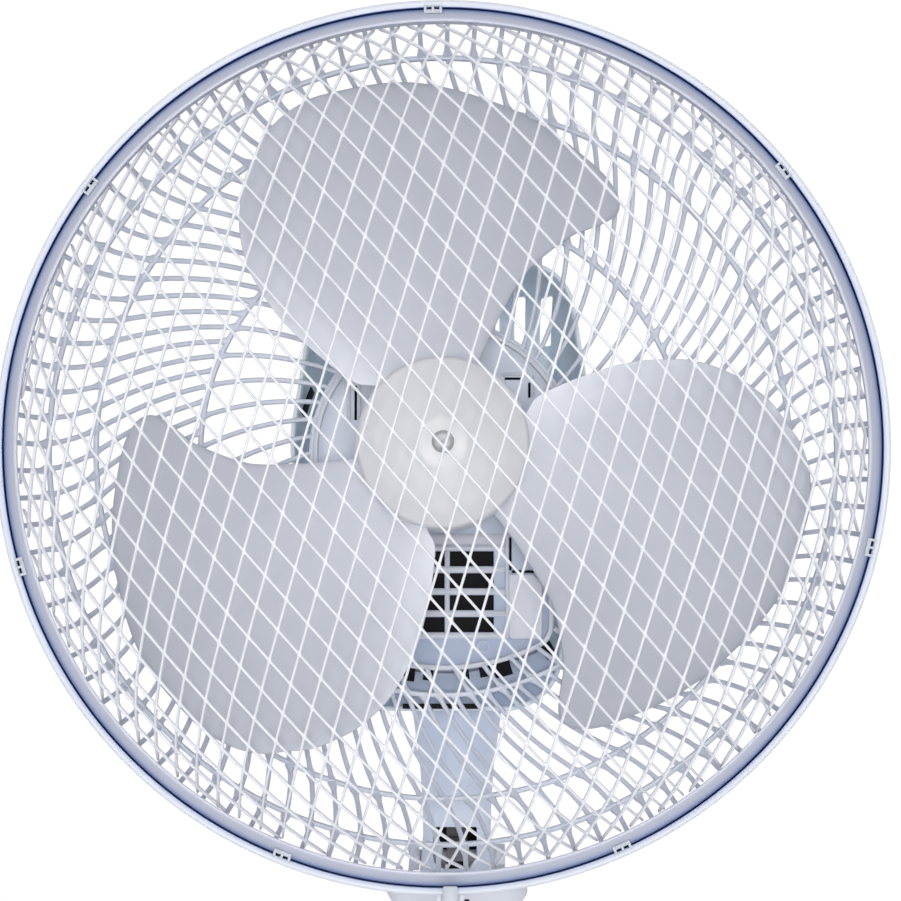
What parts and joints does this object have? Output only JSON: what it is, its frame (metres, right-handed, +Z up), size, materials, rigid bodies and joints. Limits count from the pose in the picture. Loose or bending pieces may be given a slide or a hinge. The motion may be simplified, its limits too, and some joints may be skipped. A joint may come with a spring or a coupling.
{
  "type": "pedestal fan",
  "caption": "Free-standing pedestal fan with a moulded round grille, broad blades, swinging and tilting head, push-button speed box and height-adjustable stand on a crossed base.",
  "frame": {"origin": "on the floor below the pole, at the centre of the crossed base", "axes": "+Z up along the pole, the fan blows towards -Y, +X to the right seen from the front"},
  "size_m": [0.4638, 0.4638, 1.15],
  "materials": {
    "grille_white": "smooth, semi-gloss moulding",
    "rim_shade": "smooth moulding in cool white",
    "case_white": "fine moulded satin",
    "case_shade": "fine moulded satin in cool white",
    "blade_grey": "smooth, slightly translucent",
    "milky": "milky, slightly translucent",
    "tube_white": "white powder coat",
    "tube_chrome": "plated",
    "steel": "zinc plated",
    "die_cast": "raw casting",
    "bronze": "sintered",
    "copper": "enamelled wire",
    "dark_plastic": "black moulding",
    "nylon": "natural nylon",
    "rubber": "matt"
  },
  "bodies": {
    "stand": {"leg_lower": "tube_white", "leg_upper": "tube_white", "leg_caps": "case_shade", "foot_pads": "rubber", "pole_flange": "steel", "base_cover": "case_white", "base_screws": "steel", "outer_tube": "tube_white", "clamp_collar": "case_white"},
    "clamp_knob": {"clamp_screw": "steel", "clamp_knob": "case_shade"},
    "mast": {"inner_tube": "tube_chrome", "tube_bush": "nylon", "tube_socket": "dark_plastic", "control_box_front": "case_white", "control_box_rear": "case_white", "button_bezel": "case_shade", "speed_switch": "dark_plastic", "cord_gland": "case_white", "box_screws": "steel", "tilt_bracket": "case_white"},
    "button_off": {"button_off": "case_shade"},
    "button_low": {"button_low": "case_white"},
    "button_medium": {"button_medium": "case_white"},
    "button_high": {"button_high": "case_white"},
    "neck": {"neck": "case_shade", "tilt_bolt": "steel", "tilt_nut": "steel", "swivel_post": "steel", "link_pin": "steel"},
    "link": {"link_arm": "steel"},
    "head": {"gearbox_case": "die_cast", "motor_front_bell": "die_cast", "motor_rear_bell": "die_cast", "shaft_bearings": "bronze", "stator_core": "steel", "stator_windings": "copper", "capacitor": "nylon", "motor_cover": "case_shade", "cover_screw": "steel", "rear_plate": "case_white", "rear_ribs": "rim_shade", "rear_rim": "grille_white", "grille_nut": "case_shade", "front_rim": "rim_shade", "front_net": "grille_white", "rim_clips": "grille_white", "latch_pin": "steel"},
    "latch": {"latch": "grille_white"},
    "rotor": {"shaft": "steel", "rotor_core": "steel", "worm": "steel", "blade_set": "blade_grey", "spinner": "milky", "spinner_nut": "steel", "shaft_pin": "steel"},
    "worm_wheel": {"worm_wheel": "nylon"},
    "osc_knob": {"clutch_rod": "steel", "osc_knob": "case_white"},
    "crank": {"crank": "steel"}
  },
  "joints": [
    {"name": "height_slide", "type": "slide", "parent": "stand", "child": "mast", "axis": [0, 0, 1], "range_m": [-0.1, 0.1]},
    {"name": "clamp_turn", "type": "hinge", "parent": "stand", "child": "clamp_knob", "pos_m": [0.035, 0, 0.414], "axis": [1, 0, 0], "range_deg": [-360, 0]},
    {"name": "tilt", "type": "hinge", "parent": "mast", "child": "neck", "pos_m": [0, 0, 0.718], "axis": [1, 0, 0], "range_deg": [-25, 10]},
    {"name": "oscillation", "type": "hinge", "parent": "neck", "child": "head", "pos_m": [0, 0, 0.93], "axis": [0, 0, 1], "range_deg": [-40, 40]},
    {"name": "rotor_spin", "type": "hinge", "parent": "head", "child": "rotor", "pos_m": [-0.0075, 0, 0.93], "axis": [0, 1, 0], "continuous": true},
    {"name": "worm_wheel_spin", "type": "hinge", "parent": "head", "child": "worm_wheel", "pos_m": [0.00605, 0.017, 0.93], "axis": [0, 0, 1], "continuous": true},
    {"name": "crank_turn", "type": "hinge", "parent": "head", "child": "crank", "pos_m": [0, 0.034, 0.84], "axis": [0, 0, 1], "range_deg": [-92, 92]},
    {"name": "link_swing", "type": "hinge", "parent": "neck", "child": "link", "pos_m": [0.014, 0, 0.826], "axis": [0, 0, 1], "range_deg": [-46, 46]},
    {"name": "osc_knob_pull", "type": "slide", "parent": "head", "child": "osc_knob", "axis": [0, 0, 1], "range_m": [0, 0.01]},
    {"name": "latch_swing", "type": "hinge", "parent": "head", "child": "latch", "pos_m": [-0.0039, -0.135, 0.705], "axis": [1, 0, 0], "range_deg": [0, 70]},
    {"name": "button_off_press", "type": "slide", "parent": "mast", "child": "button_off", "axis": [0, 1, 0], "range_m": [0, 0.004], "stiffness_N_per_m": 250},
    {"name": "button_low_press", "type": "slide", "parent": "mast", "child": "button_low", "axis": [0, 1, 0], "range_m": [0, 0.004], "stiffness_N_per_m": 250},
    {"name": "button_medium_press", "type": "slide", "parent": "mast", "child": "button_medium", "axis": [0, 1, 0], "range_m": [0, 0.004], "stiffness_N_per_m": 250},
    {"name": "button_high_press", "type": "slide", "parent": "mast", "child": "button_high", "axis": [0, 1, 0], "range_m": [0, 0.004], "stiffness_N_per_m": 250}
  ],
  "couplings": [
    {"joint": "worm_wheel_spin", "follows": "rotor_spin", "ratio": 0.05},
    {"joint": "crank_turn", "follows": "oscillation", "ratio": -2.25},
    {"joint": "link_swing", "follows": "oscillation", "ratio": 1}
  ]
}
